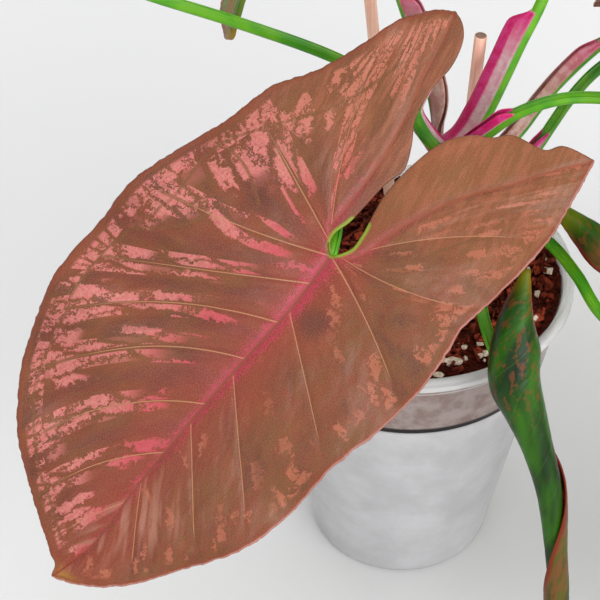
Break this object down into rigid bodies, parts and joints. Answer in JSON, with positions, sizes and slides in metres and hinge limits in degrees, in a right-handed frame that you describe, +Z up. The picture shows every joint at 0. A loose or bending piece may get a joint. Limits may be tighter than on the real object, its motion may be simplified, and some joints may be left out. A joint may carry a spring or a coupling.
{
  "type": "potted arrowhead plant",
  "caption": "Potted arrowhead plant with flat and furled mottled leaves on long stalks, in a clear nursery pot set in a grey cover pot.",
  "frame": {"origin": "centre of the cover pot's flat base", "axes": "+Z up along the pots' common axis, -Y towards the side from which the largest leaf is seen"},
  "size_m": [0.4348, 0.3284, 0.3544],
  "materials": {
    "cover_pot": "matte light grey, finely mottled",
    "nursery_pot": "clear, slightly milky",
    "soil": "loose dark bark and coco mix with pale pumice",
    "stake": "smooth bare wood",
    "stalk": "satin green, sheaths flushed pink",
    "leaf": "satin red-brown with pink mosaic patches",
    "furled_leaf": "satin green with small brown-pink spots"
  },
  "bodies": {
    "root": {"cover_pot": "cover_pot", "nursery_pot": "nursery_pot", "soil": "soil", "stake_1": "stake", "stake_2": "stake", "stem": "stalk", "blade_a": "leaf", "blade_b": "furled_leaf", "blade_c": "furled_leaf", "blade_d": "leaf", "blade_e": "leaf", "blade_f": "leaf", "blade_g": "leaf", "blade_h": "leaf", "blade_i": "leaf", "blade_j": "leaf", "petiole_a": "stalk", "petiole_b": "stalk", "petiole_c": "stalk", "petiole_d": "stalk", "petiole_e": "stalk", "petiole_f": "stalk", "petiole_g": "stalk", "petiole_h": "stalk", "petiole_i": "stalk", "petiole_j": "stalk"}
  },
  "joints": []
}
